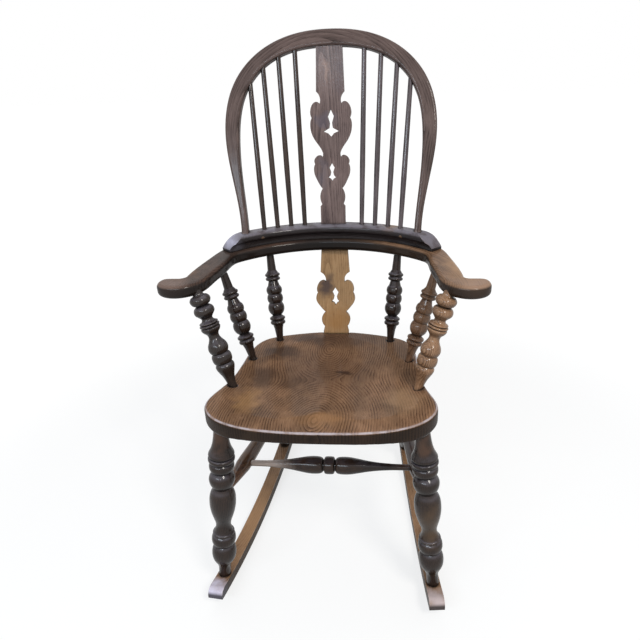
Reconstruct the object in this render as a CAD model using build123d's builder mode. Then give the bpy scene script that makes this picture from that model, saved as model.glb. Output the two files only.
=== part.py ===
from build123d import *
import os
from math import atan2, cos, degrees, radians, sin, sqrt

# High-back Windsor rocking chair: hoop back, fretted splats, turned legs and arm supports.
# Millimetres, +Z up, +Y towards the back, the floor at Z = 0. The overall depth, from the seat's
# front edge to the rockers' rear tips, is centred on Y = 0, and the chair is symmetric about X = 0.

os.makedirs("parts", exist_ok=True)

# ---------------------------------------------------------------- driving dimensions

# Rockers: two curved runners that close towards the back
ROCKER_FRONT = -345.0        # tips
ROCKER_BACK = 349.7
ROCKER_RADIUS = 1250.0       # running edge
ROCKER_HEIGHT = 22.0
ROCKER_WIDTH = 32.0
ROCKER_MID_X = 197.6         # centre line at Y = 0
ROCKER_TOE = degrees(atan2(0.1045, 1.0))
BALANCE_Y = -70.8            # the running edge is lowest here, under the centre of mass

# Seat: a shaped board whose top slopes down to the back
SEAT_TOP = 459.0             # height of the rim at Y = 0
SEAT_SLOPE = 0.021
SEAT_THICK = 40.0
SEAT_HALF_WIDTH = 225.0
SEAT_FRONT = -349.0
SEAT_BACK = 91.0
SADDLE_DEPTH = 12.0
BEVEL_RUN = 52.0             # of the bevel under the front edge
BEVEL_HEIGHT = 17.0

# Arms: flat boards that slope up to the back, with the crest rail on their curved back part
ARM_UNDER = 660.0            # height of the underside at Y = 0
ARM_SLOPE = 0.04
ARM_THICK = 27.0
BOW_CENTRE_Y = -195.0        # centre of the back curve in plan
ARM_INNER_RADIUS = 289.0
ARM_OUTER_RADIUS = 340.0
ARM_ROUND = 9.5
HAND_TIP_X = 322.0
CREST_HEIGHT = 33.0
CREST_FRONT = 300.0          # plan radii of the rail's base
CREST_BACK = 330.0
CREST_HALF_ANGLE = 47.5
SPINDLE_RADIUS = 311.0       # plan radius of the row of back spindles

# Hoop: a flat bow that leans back
HOOP_FOOT_X = 194.0
HOOP_FOOT_Y = 37.1           # front face where it leaves the crest rail
HOOP_FOOT_Z = 722.0
HOOP_TOP_Z = 1131.0
HOOP_LEAN = 0.32             # run for each unit of rise
HOOP_THICK = 20.0
HOOP_OUTER_HALF = 231.0
HOOP_INNER_HALF = 200.5
HOOP_ROUND = 5.0
HOOP_TENON_DEPTH = 24.0
BACK_SPINDLE_FIRST = 12.3    # degrees in plan, from the middle of the back
BACK_SPINDLE_STEP = 5.85

# Splats: thin fretted boards
SPLAT_THICK = 10.0
UPPER_SPLAT_FOOT = 28.5      # half widths
UPPER_SPLAT_HEAD = 28.5
LOWER_SPLAT_FOOT = 31.0
LOWER_SPLAT_HEAD = 31.5
SPLAT_TENON = 11.0

# Round joints: the radius is the same in the socket and just outside it
LEG_HEAD_RADIUS = 13.5
LEG_FOOT_RADIUS = 12.0
POST_RADIUS = 8.5
STICK_RADIUS = 7.5
SIDE_RAIL_RADIUS = 7.5
CROSS_RAIL_RADIUS = 6.5
BACK_STICK_RADIUS = 5.2
HOOP_TENON_RADIUS = 6.0
PEG_RADIUS = 3.0
PEG_LENGTH = LEG_FOOT_RADIUS + 1 + ROCKER_WIDTH / 2   # from inside the tenon to the outer face
SEAT_DEPTH = 25.0            # how far legs and sticks go into the seat
ROCKER_DEPTH = 16.0
ARM_DEPTH = 18.0
BACK_DEPTH = 16.0            # back spindles, in the crest rail and in the hoop
STRETCHER_GAP = 6.0          # from a stretcher's end to the axis of the piece that holds it
SOCKET_AIR = 1.0             # air left at the blind end of a socket

# Fixings
PLUG_RADIUS = 3.5
PLUG_ANGLE = 32.0            # in plan, from the middle of the back
PLUG_DEPTH_RADIUS = 300.5
PLUG_UP = 19.0
SCREW_RADIUS = 2.2
SCREW_HEAD_RADIUS = 4.5
SCREW_LENGTH = 50.0
SCREW_ANGLES = (9.2, 35.4)

SIDES = {"left": -1, "right": 1}
FROM_END = (Align.CENTER, Align.CENTER, Align.MIN)
TO_END = (Align.CENTER, Align.CENTER, Align.MAX)


# ---------------------------------------------------------------- reference heights and lines

def seat_top(y):
    return SEAT_TOP - SEAT_SLOPE * y


def seat_under(y):
    return seat_top(y) - SEAT_THICK


def arm_under(y):
    return ARM_UNDER + ARM_SLOPE * y


def rocker_x(y):
    return ROCKER_MID_X - y * sin(radians(ROCKER_TOE)) / cos(radians(ROCKER_TOE))


def rocker_top(y):
    across = y - BALANCE_Y
    return ROCKER_RADIUS - sqrt((ROCKER_RADIUS - ROCKER_HEIGHT) ** 2 - across**2)


def on_line(start, end, height):
    """The point of a line at a height."""
    part = (height - start[2]) / (end[2] - start[2])
    return tuple(a + part * (b - a) for a, b in zip(start, end))


def between(start, end, part):
    return tuple(a + part * (b - a) for a, b in zip(start, end))


def distance(start, end):
    return (Vector(*end) - Vector(*start)).length


def flip(point, side):
    """The point on the left (-1) or right (1) of the chair."""
    return (point[0] * side, point[1], point[2])


seat_plane = Plane(origin=(0, 0, SEAT_TOP), x_dir=(1, 0, 0), z_dir=(0, SEAT_SLOPE, 1))
arm_plane = Plane(origin=(0, 0, ARM_UNDER), x_dir=(1, 0, 0), z_dir=(0, -ARM_SLOPE, 1))
arm_top_plane = arm_plane.offset(ARM_THICK)
crest_top_plane = arm_top_plane.offset(CREST_HEIGHT)
hoop_plane = Plane(
    origin=(0, HOOP_FOOT_Y, HOOP_FOOT_Z), x_dir=(1, 0, 0), z_dir=(0, -1, HOOP_LEAN)
)
HOOP_RISE = (HOOP_TOP_Z - HOOP_FOOT_Z) * sqrt(1 + HOOP_LEAN**2)   # along the leaning plane


def arm_point(radius, angle, up=0.0):
    """A point above the arms' underside, by plan radius and angle from the middle."""
    x = radius * sin(radians(angle))
    y = BOW_CENTRE_Y + radius * cos(radians(angle))
    return tuple(arm_plane.from_local_coords(Vector(x, y, up)))


# The hoop's outlines in its own plane: the foot and limb, then a full rounded bow
OUTER_LIMB = ((200, -12), (218, 124), HOOP_OUTER_HALF, 224, 2.23)
INNER_LIMB = ((184, -12), (196, 118), HOOP_INNER_HALF, 206, 2.45)
HOOP_DEPTH = 34.0            # of its face at the top
BOW_ANGLES = (0, 28, 52, 72)


def bow_point(limb, top, angle):
    """A point of the rounded bow, by an angle from its springing to its top."""
    half, spring, fullness = limb[2:]
    x = half * cos(radians(angle)) ** (2 / fullness)
    return (x, spring + (top - spring) * sin(radians(angle)) ** (2 / fullness))


def bow_outline(limb, top):
    """All the points of one edge of the hoop, from the right foot over the top to the left."""
    right = [limb[0], limb[1]] + [bow_point(limb, top, angle) for angle in BOW_ANGLES]
    return right + [(0, top)] + [(-x, y) for x, y in reversed(right)]


def inner_height(x):
    half, spring, fullness = INNER_LIMB[2:]
    rise = HOOP_RISE - HOOP_DEPTH - spring
    return spring + rise * (1 - (x / half) ** fullness) ** (1 / fullness)


def hoop_point(x, height):
    """A point half way through the hoop's thickness."""
    return tuple(hoop_plane.from_local_coords(Vector(x, height, -HOOP_THICK / 2)))


# Axes of the turned pieces, on the right side: foot and head where they leave their sockets
FRONT_LEG = ((rocker_x(-287), -287.0, rocker_top(-287)), (196.8, -262.0, seat_under(-262)))
REAR_LEG = ((rocker_x(175), 175.0, rocker_top(175)), (132.0, 15.0, seat_under(15)))
ARM_POST = ((192.0, -178.0, seat_top(-178)), (243.0, -160.0, arm_under(-160)))
SIDE_SPINDLE = ((175.0, -64.0, seat_top(-64)), (228.0, -38.0, arm_under(-38)))
REAR_SPINDLE = ((133.0, 38.0, seat_top(38)), (149.5, 81.0, arm_under(81)))
SIDE_STRETCHER = (on_line(*FRONT_LEG, 247.0), on_line(*REAR_LEG, 237.0))
CROSS_PART = 0.31            # where the cross stretcher meets the side one, from the front
CROSS_END = between(*SIDE_STRETCHER, CROSS_PART)

# Back spindles fan out from the crest rail to the hoop
SPINDLE_HEAD_X = (75.0, 111.0, 145.0, 174.0)
BACK_SPINDLES = [
    (
        arm_point(
            SPINDLE_RADIUS,
            BACK_SPINDLE_FIRST + number * BACK_SPINDLE_STEP,
            ARM_THICK + CREST_HEIGHT,
        ),
        hoop_point(x, inner_height(x)),
    )
    for number, x in enumerate(SPINDLE_HEAD_X)
]
HOOP_TENON = (hoop_point(HOOP_FOOT_X - 1, 3.2), hoop_point(HOOP_FOOT_X + 12, 115))

# The splats' middle planes lean back from a foot to a head
UPPER_SPLAT = (
    Vector(arm_point(SPINDLE_RADIUS + 1, 0, ARM_THICK + CREST_HEIGHT)),
    Vector(hoop_point(0, HOOP_RISE - HOOP_DEPTH)),
)
LOWER_SPLAT = (Vector(0, 82, seat_top(82)), Vector(0, 119, arm_under(119)))


def upright_plane(foot, head):
    return Plane(origin=foot, x_dir=(1, 0, 0), z_dir=Vector(1, 0, 0).cross(head - foot))


upper_splat_plane = upright_plane(*UPPER_SPLAT)
lower_splat_plane = upright_plane(*LOWER_SPLAT)
UPPER_SPLAT_RISE = (UPPER_SPLAT[1] - UPPER_SPLAT[0]).length
LOWER_SPLAT_RISE = (LOWER_SPLAT[1] - LOWER_SPLAT[0]).length


def screw_plane(angle):
    """Under the arm, facing down, where a screw's head sits."""
    return Plane(origin=arm_point(SPINDLE_RADIUS + 3, angle, 0), z_dir=(0, ARM_SLOPE, -1))


def plug_plane(side):
    """The bottom of a plug's hole, facing the front of the crest rail."""
    angle = radians(PLUG_ANGLE)
    return Plane(
        origin=arm_point(PLUG_DEPTH_RADIUS, PLUG_ANGLE * side, ARM_THICK + PLUG_UP),
        z_dir=(sin(angle) * side, cos(angle), 0),
    )


def peg_plane(foot, side=1):
    """The inner end of a rocker's blind peg, which crosses the leg's tenon, facing outwards."""
    toe_angle = radians(ROCKER_TOE)
    outwards = Vector(cos(toe_angle) * side, sin(toe_angle), 0)
    tenon = Vector(rocker_x(foot[1]) * side, foot[1], foot[2] - ROCKER_HEIGHT * 0.45)
    return Plane(origin=tenon - outwards * (LEG_FOOT_RADIUS + 1), z_dir=outwards)


# ---------------------------------------------------------------- turning and boring

def lathe_plane(foot, head):
    """A plane through the axis: its Y runs from foot to head."""
    axis = (Vector(*head) - Vector(*foot)).normalized()
    guide = Vector(0, 1, 0) if abs(axis.Y) < 0.7 else Vector(1, 0, 0)
    outward = axis.cross(guide).normalized()
    return Plane(origin=foot, x_dir=outward, z_dir=outward.cross(axis))


def turn(foot, head, foot_depth, head_depth, steps):
    """One turned piece from its foot to its head, with a tenon of the given length at each end.

    Each step is (height, radius) for a straight cut to that radius, or (height, radius, crest)
    for a round one, which passes the crest radius half way. The first and last steps give the
    tenons' radii.
    """
    length = distance(foot, head)
    foot_radius = steps[0][1]
    head_radius = steps[-1][1]
    plane = lathe_plane(foot, head)
    with BuildPart() as piece:
        with BuildSketch(plane):
            with BuildLine():
                Line((0, -foot_depth), (foot_radius, -foot_depth))
                here = (foot_radius, -foot_depth)
                for height, radius, *crest in steps:
                    there = (radius, height)
                    if crest:
                        ThreePointArc(here, (crest[0], (here[1] + height) / 2), there)
                    else:
                        Line(here, there)
                    here = there
                Line(here, (head_radius, length + head_depth))
                Line((head_radius, length + head_depth), (0, length + head_depth))
                Line((0, length + head_depth), (0, -foot_depth))
            make_face()
        revolve(axis=Axis(foot, plane.y_dir))
    return piece


def socket(mouth, outside, radius, depth):
    """Cuts a blind round socket at a mouth, coming from a point outside."""
    inward = (Vector(*mouth) - Vector(*outside)).normalized()
    start = Vector(*mouth) - inward * 3 * radius
    with Locations(Plane(origin=start, z_dir=inward)):
        Cylinder(
            radius,
            depth + 3 * radius + SOCKET_AIR,
            align=FROM_END,
            mode=Mode.SUBTRACT,
        )


def save(piece, label):
    piece.part.label = label
    export_step(piece.part, f"parts/{label}.step")


def save_pair(piece, label):
    """Saves a piece of the right side, and its mirror image as the left one."""
    save(piece, "right_" + label)
    with BuildPart() as twin:
        mirror(piece.part, about=Plane.YZ)
    save(twin, "left_" + label)


# ---------------------------------------------------------------- turned patterns

def front_leg_steps(length):
    """Foot, cup, two beads, long vase, ball, two rings and a cup, then the neck."""
    return [
        (4, LEG_FOOT_RADIUS),
        (6, 14.5),
        (34, 14.5),
        (46, 16.8),
        (55, 22.5),
        (87, 22.5, 27.5),
        (130, 21.5, 26.8),
        (134, 18),
        (140, 16.8),
        (170, 23.8),
        (229, 25, 28),
        (236, 22),
        (241, 22),
        (277, 21.5, 26.8),
        (280, 22.5),
        (297, 24.3, 26.4),
        (300, 24.3),
        (311, 25, 27.3),
        (313, 24.8),
        (324, 24.8, 27),
        (346, 17.5, 20),
        (length - 14, 14.5),
        (length - 8, LEG_HEAD_RADIUS),
    ]


def rear_leg_steps(length):
    """The plainer leg: foot, two long swells parted by rings, and the neck."""
    return [
        (4, LEG_FOOT_RADIUS),
        (6, 14),
        (60, 19),
        (104, 17, 21),
        (106, 20),
        (112, 20, 22),
        (114, 17),
        (160, 21.5),
        (206, 21.5),
        (258, 17),
        (260, 20),
        (266, 20, 22),
        (268, 17),
        (310, 18.5),
        (length - 14, 15),
        (length - 8, LEG_HEAD_RADIUS),
    ]


def arm_post_steps(length):
    """Tapered foot, two beads, pear, neck, cup, bead and top bead."""
    return [
        (4, POST_RADIUS),
        (7, 10),
        (16, 10.8),
        (30, 15.5),
        (48, 17.3, 19.8),
        (50, 18),
        (71, 16.8, 20.3),
        (96, 17.6, 20.4),
        (106, 11.4),
        (112, 11.2),
        (119, 17),
        (133, 19.8, 21),
        (143, 12),
        (149, 11),
        (176, 12.5, 21),
        (length - 3, 16.5, 20.8),
        (length - 2, POST_RADIUS),
    ]


def arm_spindle_steps(length):
    """Cone foot, two rings, ball, bead, pear, two rings and a slender neck."""
    return [
        (4, STICK_RADIUS),
        (28, 10),
        (38, 12.5),
        (40, 16),
        (48, 16, 17.8),
        (50, 14.5),
        (58, 15.5, 18.4),
        (62, 10.5),
        (92, 15.2, 19.2),
        (113, 15.5, 18.8),
        (133, 14, 18.6),
        (144, 11),
        (146, 15),
        (153, 15, 17.2),
        (155, 14),
        (163, 14.5, 17.6),
        (170, 10.2),
        (length - 5, 8.5),
        (length - 4, STICK_RADIUS),
    ]


def back_spindle_steps(length):
    """A plain stick, a little fuller at its lower third."""
    return [(4, BACK_STICK_RADIUS), (length * 0.35, 6.2), (length - 4, BACK_STICK_RADIUS)]


def side_stretcher_steps(length):
    """A long cigar, with a level band at its fullest, where the cross stretcher enters."""
    swell = CROSS_PART * length
    return [
        (32, SIDE_RAIL_RADIUS),
        (swell - 10, 17.0),
        (swell + 10, 17.0),
        (length * 0.62, 14.0),
        (length - 28, SIDE_RAIL_RADIUS),
    ]


def cross_stretcher_steps(length):
    """Slim ends, two long vases and a bead between two fine rings, in the middle."""
    middle = length / 2
    return [
        (18, CROSS_RAIL_RADIUS),
        (middle - 110, 9.5),
        (middle - 48, 18, 14.5),
        (middle - 20, 11.5, 18.5),
        (middle - 12, 14, 15),
        (middle + 12, 14, 19.5),
        (middle + 20, 11.5, 15),
        (middle + 48, 18, 18.5),
        (middle + 110, 9.5, 14.5),
        (length - 18, CROSS_RAIL_RADIUS),
    ]


# ---------------------------------------------------------------- seat

# Half of the rounded D outline, from the front round the widest part to the back
SEAT_EDGE = [
    (76, SEAT_FRONT + 3),
    (150, SEAT_FRONT + 18),
    (205, -297),
    (SEAT_HALF_WIDTH, -258),
    (209, -185),
    (195, -90),
    (190, -10),
    (172, 38),
    (110, 72),
]

# The wedge taken off under the front edge, in side view
FRONT_BEVEL = [
    (SEAT_FRONT - 10, seat_under(SEAT_FRONT) - 10),
    (SEAT_FRONT - 10, seat_under(SEAT_FRONT) + BEVEL_HEIGHT * (BEVEL_RUN + 10) / BEVEL_RUN),
    (SEAT_FRONT + BEVEL_RUN, seat_under(SEAT_FRONT + BEVEL_RUN)),
    (SEAT_FRONT + BEVEL_RUN, seat_under(SEAT_FRONT) - 10),
]

with BuildPart() as seat:
    with BuildSketch(seat_plane):
        with BuildLine():
            left_edge = [(-x, y) for x, y in reversed(SEAT_EDGE)]
            Spline((0, SEAT_FRONT), *SEAT_EDGE, (0, SEAT_BACK), *left_edge, periodic=True)
        make_face()
    extrude(amount=-SEAT_THICK)
    under_face = seat.faces().sort_by(Axis.Z)[0]
    chamfer(under_face.outer_wire().edges(), 6, 10, reference=under_face)
    top_face = seat.faces().sort_by(Axis.Z)[-1]
    fillet(top_face.outer_wire().edges(), 6)
    # The front is bevelled from below, which makes it look thinner
    with BuildSketch(Plane.YZ):
        Polygon(*FRONT_BEVEL, align=None)
    extrude(amount=SEAT_HALF_WIDTH, both=True, mode=Mode.SUBTRACT)
    # The saddle: two shallow hollows that leave a low ridge between the thighs, and one behind
    for x, y, radius in ((-75, -150, 760), (75, -150, 760), (0, -60, 700)):
        with Locations((x, y, seat_top(y) + radius - SADDLE_DEPTH)):
            Sphere(radius, mode=Mode.SUBTRACT)
    for side in SIDES.values():
        for foot, head in (FRONT_LEG, REAR_LEG):
            socket(flip(head, side), flip(foot, side), LEG_HEAD_RADIUS, SEAT_DEPTH)
        socket(flip(ARM_POST[0], side), flip(ARM_POST[1], side), POST_RADIUS, SEAT_DEPTH)
        for foot, head in (SIDE_SPINDLE, REAR_SPINDLE):
            socket(flip(foot, side), flip(head, side), STICK_RADIUS, SEAT_DEPTH)
    with BuildSketch(lower_splat_plane.offset(-SPLAT_THICK / 2)):
        with Locations((0, -SPLAT_TENON - SOCKET_AIR)):
            Rectangle(2 * LOWER_SPLAT_FOOT, 30, align=(Align.CENTER, Align.MIN))
    extrude(amount=SPLAT_THICK, mode=Mode.SUBTRACT)
save(seat, "seat")


# ---------------------------------------------------------------- rockers and their pegs

toe = radians(ROCKER_TOE)
rocker_plane = Plane(
    origin=(ROCKER_MID_X, 0, 0), x_dir=(-sin(toe), cos(toe), 0), z_dir=(cos(toe), sin(toe), 0)
)
skew = ROCKER_WIDTH / 2 * sin(toe)      # reach in Y of the toed-in end faces
front_end = (ROCKER_FRONT + skew) / cos(toe)
back_end = (ROCKER_BACK - skew) / cos(toe)
lowest = BALANCE_Y / cos(toe)


def rail_point(along, height):
    """A point of the curved rail: its place along the floor, and height over the running edge."""
    radius = ROCKER_RADIUS - height
    return (along, ROCKER_RADIUS - sqrt(radius**2 - (along - lowest) ** 2))


with BuildPart() as right_rocker:
    with BuildSketch(rocker_plane):
        with BuildLine():
            under = ThreePointArc(*(rail_point(u, 0) for u in (front_end, lowest, back_end)))
            over = ThreePointArc(
                *(rail_point(u, ROCKER_HEIGHT) for u in (front_end, lowest, back_end))
            )
            Line(under @ 0, over @ 0)
            Line(under @ 1, over @ 1)
        make_face()
    extrude(amount=ROCKER_WIDTH / 2, both=True)
    tips = right_rocker.edges().filter_by(Axis(rocker_plane.origin, rocker_plane.z_dir))
    fillet(tips.group_by(Axis.Z)[-1] + tips.sort_by(Axis.Y)[:2].sort_by(Axis.Z)[-1:], 15)
    for foot, head in (FRONT_LEG, REAR_LEG):
        socket(foot, head, LEG_FOOT_RADIUS, ROCKER_DEPTH)
        with Locations(peg_plane(foot)):
            Cylinder(PEG_RADIUS, ROCKER_WIDTH, align=FROM_END, mode=Mode.SUBTRACT)
save_pair(right_rocker, "rocker")

with BuildPart() as rocker_pegs:
    for side in SIDES.values():
        for foot, head in (FRONT_LEG, REAR_LEG):
            with Locations(peg_plane(flip(foot, side), side)):
                Cylinder(PEG_RADIUS, PEG_LENGTH, align=FROM_END)
save(rocker_pegs, "rocker_pegs")


# ---------------------------------------------------------------- legs and stretchers

for label, line, steps in (
    ("front_leg", FRONT_LEG, front_leg_steps),
    ("rear_leg", REAR_LEG, rear_leg_steps),
):
    turned = turn(*line, ROCKER_DEPTH, SEAT_DEPTH, steps(distance(*line)))
    with BuildPart() as leg:
        add(turned.part)
        with Locations(peg_plane(line[0])):
            Cylinder(PEG_RADIUS, ROCKER_WIDTH, align=FROM_END, mode=Mode.SUBTRACT)
        here, there = SIDE_STRETCHER if label == "front_leg" else SIDE_STRETCHER[::-1]
        mouth = between(here, there, 28 / distance(here, there))
        socket(mouth, there, SIDE_RAIL_RADIUS, 28 - STRETCHER_GAP)
    save_pair(leg, label)

rail = turn(
    *SIDE_STRETCHER, -STRETCHER_GAP, -STRETCHER_GAP, side_stretcher_steps(distance(*SIDE_STRETCHER))
)
with BuildPart() as side_stretcher:
    add(rail.part)
    inner_end = (CROSS_END[0] - 20, CROSS_END[1], CROSS_END[2])
    socket(inner_end, flip(CROSS_END, -1), CROSS_RAIL_RADIUS, 20 - STRETCHER_GAP)
save_pair(side_stretcher, "side_stretcher")

cross_line = (flip(CROSS_END, -1), CROSS_END)
cross_stretcher = turn(
    *cross_line, -STRETCHER_GAP, -STRETCHER_GAP, cross_stretcher_steps(distance(*cross_line))
)
save(cross_stretcher, "cross_stretcher")


# ---------------------------------------------------------------- arm posts and under-arm spindles

post = turn(*ARM_POST, SEAT_DEPTH, ARM_DEPTH, arm_post_steps(distance(*ARM_POST)))
save_pair(post, "arm_post")
for label, line in (("side_spindle", SIDE_SPINDLE), ("rear_spindle", REAR_SPINDLE)):
    spindle = turn(*line, SEAT_DEPTH, ARM_DEPTH, arm_spindle_steps(distance(*line)))
    save_pair(spindle, label)


# ---------------------------------------------------------------- arms

with BuildPart() as right_arm:
    with BuildSketch(arm_plane):
        with BuildLine():
            inner = CenterArc((0, BOW_CENTRE_Y), ARM_INNER_RADIUS, 90, -44)
            hand = Spline(
                inner @ 1,
                (214, -45),
                (223, -105),
                (235, -158),
                (262, -183),
                (300, -185),
                (HAND_TIP_X, -163),
                (317, -141),
                (294, -136),
                tangents=(inner % 1, (-1, 0)),
            )
            notch = Line(hand @ 1, (276, -136))
            outer = CenterArc((0, BOW_CENTRE_Y), ARM_OUTER_RADIUS, 90, -44)
            Spline(outer @ 1, (259, -10), (270, -70), notch @ 1, tangents=(outer % 1, (0, -1)))
            Line(inner @ 0, outer @ 0)
        make_face()
    extrude(amount=ARM_THICK)
    notch_edge = right_arm.edges().sort_by_distance((276, -136, arm_under(-136) + 13))[0]
    fillet(notch_edge, 10)
    for face in (right_arm.faces().sort_by(Axis.Z)[-1], right_arm.faces().sort_by(Axis.Z)[0]):
        rim = face.outer_wire().edges().filter_by(lambda edge: edge.center().X > 1)
        fillet(rim, ARM_ROUND)
    socket(ARM_POST[1], ARM_POST[0], POST_RADIUS, ARM_DEPTH)
    for foot, head in (SIDE_SPINDLE, REAR_SPINDLE):
        socket(head, foot, STICK_RADIUS, ARM_DEPTH)
    with BuildSketch(lower_splat_plane.offset(-SPLAT_THICK / 2)):
        with Locations((0, LOWER_SPLAT_RISE + SPLAT_TENON + SOCKET_AIR)):
            Rectangle(2 * LOWER_SPLAT_HEAD, 30, align=(Align.CENTER, Align.MAX))
    extrude(amount=SPLAT_THICK, mode=Mode.SUBTRACT)
    for angle in SCREW_ANGLES:
        with Locations(screw_plane(angle)):
            CounterSinkHole(SCREW_RADIUS, SCREW_HEAD_RADIUS, depth=2 * ARM_THICK)
save_pair(right_arm, "arm")


# ---------------------------------------------------------------- crest rail, its plugs and screws

section_plane = Plane(
    origin=arm_top_plane.from_local_coords(Vector(0, BOW_CENTRE_Y, 0)),
    x_dir=(0, 1, ARM_SLOPE),
    z_dir=(1, 0, 0),
)
end_plane = Plane(
    origin=arm_point(ARM_OUTER_RADIUS, CREST_HALF_ANGLE, ARM_THICK),
    x_dir=(cos(radians(CREST_HALF_ANGLE)), -sin(radians(CREST_HALF_ANGLE)), 0),
    z_dir=(-sin(radians(CREST_HALF_ANGLE)), -cos(radians(CREST_HALF_ANGLE)), 0),
)

with BuildPart() as whole_crest:
    with BuildSketch(section_plane):
        with BuildLine():
            # Base, hollow front, round nose, flat top and round back
            Line((CREST_BACK, 0), (CREST_FRONT, 0))
            Line((CREST_FRONT, 0), (CREST_FRONT, 3))
            ThreePointArc((CREST_FRONT, 3), (298.5, 11.5), (292, 18))
            ThreePointArc((292, 18), (292.5, 27), (303, CREST_HEIGHT))
            Line((303, CREST_HEIGHT), (322, CREST_HEIGHT))
            ThreePointArc((322, CREST_HEIGHT), (328, 29.5), (CREST_BACK, 23))
            Line((CREST_BACK, 23), (CREST_BACK, 0))
        make_face()
    revolve(
        axis=Axis(section_plane.origin, section_plane.y_dir), revolution_arc=-CREST_HALF_ANGLE
    )
    # The end falls in a round shoulder to a low lip
    with BuildSketch(end_plane):
        with BuildLine():
            shoulder = ThreePointArc((-46, CREST_HEIGHT + 1), (-19, 23), (0, 5))
            Polyline(shoulder @ 1, (12, 5), (12, 60), (-46, 60), shoulder @ 0)
        make_face()
    extrude(amount=60, both=True, mode=Mode.SUBTRACT)
    mirror(about=Plane.YZ)

with BuildPart() as crest_plugs:
    for side in SIDES.values():
        with Locations(plug_plane(side)):
            Cylinder(PLUG_RADIUS, 30, align=TO_END)
    add(whole_crest.part, mode=Mode.INTERSECT)
save(crest_plugs, "crest_plugs")

with BuildPart() as crest_rail:
    add(whole_crest.part)
    for side in SIDES.values():
        with Locations(plug_plane(side)):
            Cylinder(PLUG_RADIUS, 30, align=TO_END, mode=Mode.SUBTRACT)
        for foot, head in BACK_SPINDLES:
            socket(flip(foot, side), flip(head, side), BACK_STICK_RADIUS, BACK_DEPTH)
        foot, head = HOOP_TENON
        socket(flip(foot, side), flip(head, side), HOOP_TENON_RADIUS, HOOP_TENON_DEPTH)
        for angle in SCREW_ANGLES:
            with Locations(screw_plane(angle * side)):
                Cylinder(
                    SCREW_RADIUS, SCREW_LENGTH + SOCKET_AIR, align=TO_END, mode=Mode.SUBTRACT
                )
    with BuildSketch(upper_splat_plane.offset(-SPLAT_THICK / 2)):
        with Locations((0, -SPLAT_TENON - SOCKET_AIR)):
            Rectangle(2 * UPPER_SPLAT_FOOT, 30, align=(Align.CENTER, Align.MIN))
    extrude(amount=SPLAT_THICK, mode=Mode.SUBTRACT)
save(crest_rail, "crest_rail")

with BuildPart() as crest_screws:
    for side in SIDES.values():
        for angle in SCREW_ANGLES:
            with Locations(screw_plane(angle * side)):
                Cylinder(SCREW_RADIUS, SCREW_LENGTH, align=TO_END)
                Cone(
                    SCREW_RADIUS,
                    SCREW_HEAD_RADIUS,
                    SCREW_HEAD_RADIUS - SCREW_RADIUS,
                    align=TO_END,
                )
save(crest_screws, "crest_screws")


# ---------------------------------------------------------------- hoop

with BuildPart() as hoop:
    with BuildSketch(hoop_plane):
        with BuildLine():
            outer_bow = Spline(*bow_outline(OUTER_LIMB, HOOP_RISE))
            inner_bow = Spline(*bow_outline(INNER_LIMB, HOOP_RISE - HOOP_DEPTH))
            Line(outer_bow @ 0, inner_bow @ 0)
            Line(outer_bow @ 1, inner_bow @ 1)
        make_face()
    extrude(amount=-HOOP_THICK)
    split(bisect_by=crest_top_plane, keep=Keep.TOP)
    long_edges = hoop.edges().filter_by(lambda edge: edge.length > 500)
    fillet(long_edges, HOOP_ROUND)
    for side in SIDES.values():
        foot, head = (Vector(*flip(point, side)) for point in HOOP_TENON)
        upward = (head - foot).normalized()
        with Locations(Plane(origin=foot - upward * HOOP_TENON_DEPTH, z_dir=upward)):
            Cylinder(HOOP_TENON_RADIUS, HOOP_TENON_DEPTH + 12, align=FROM_END)
        for foot, head in BACK_SPINDLES:
            socket(flip(head, side), flip(foot, side), BACK_STICK_RADIUS, BACK_DEPTH)
    with BuildSketch(upper_splat_plane.offset(-SPLAT_THICK / 2)):
        with Locations((0, UPPER_SPLAT_RISE + SPLAT_TENON + SOCKET_AIR)):
            Rectangle(2 * UPPER_SPLAT_HEAD, 30, align=(Align.CENTER, Align.MAX))
    extrude(amount=SPLAT_THICK, mode=Mode.SUBTRACT)
save(hoop, "hoop")

for number, (foot, head) in enumerate(BACK_SPINDLES, start=1):
    stick = turn(foot, head, BACK_DEPTH, BACK_DEPTH, back_spindle_steps(distance(foot, head)))
    save_pair(stick, f"back_spindle_{number}")


# ---------------------------------------------------------------- splats

def fret(waist, flare, lobe, notch, ear, crown, hook):
    """Right edge of one fretted motif, upwards: waist, big lobe, notch, then a round ear.

    The lobe leaves the waist with the given slope, and the ear ends in a small inward hook.
    """
    flank = (waist[0] + 0.62 * (lobe[0] - waist[0]), waist[1] + 0.5 * (lobe[1] - waist[1]))
    Spline(waist, flank, lobe, notch, tangents=((flare, 1), (-0.75, 1)))
    Spline(notch, ear, crown, hook, tangents=((0.6, 1), (-0.6, -1)))


def spade(base, tip, point, wide, slim):
    """A pierced spade on the centre line: a foot with two side points, a neck and a head."""
    rise = tip - base
    right = [
        (0, base),
        (0.4 * point, base + 0.13 * rise),
        (point, base + 0.2 * rise),
        (1.6 * slim, base + 0.32 * rise),
        (slim, base + 0.5 * rise),
        (wide, base + 0.74 * rise),
        (0, tip),
    ]
    left = [(-x, y) for x, y in right[-2:0:-1]]
    Polygon(*right, *left, align=None, mode=Mode.SUBTRACT)


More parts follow.
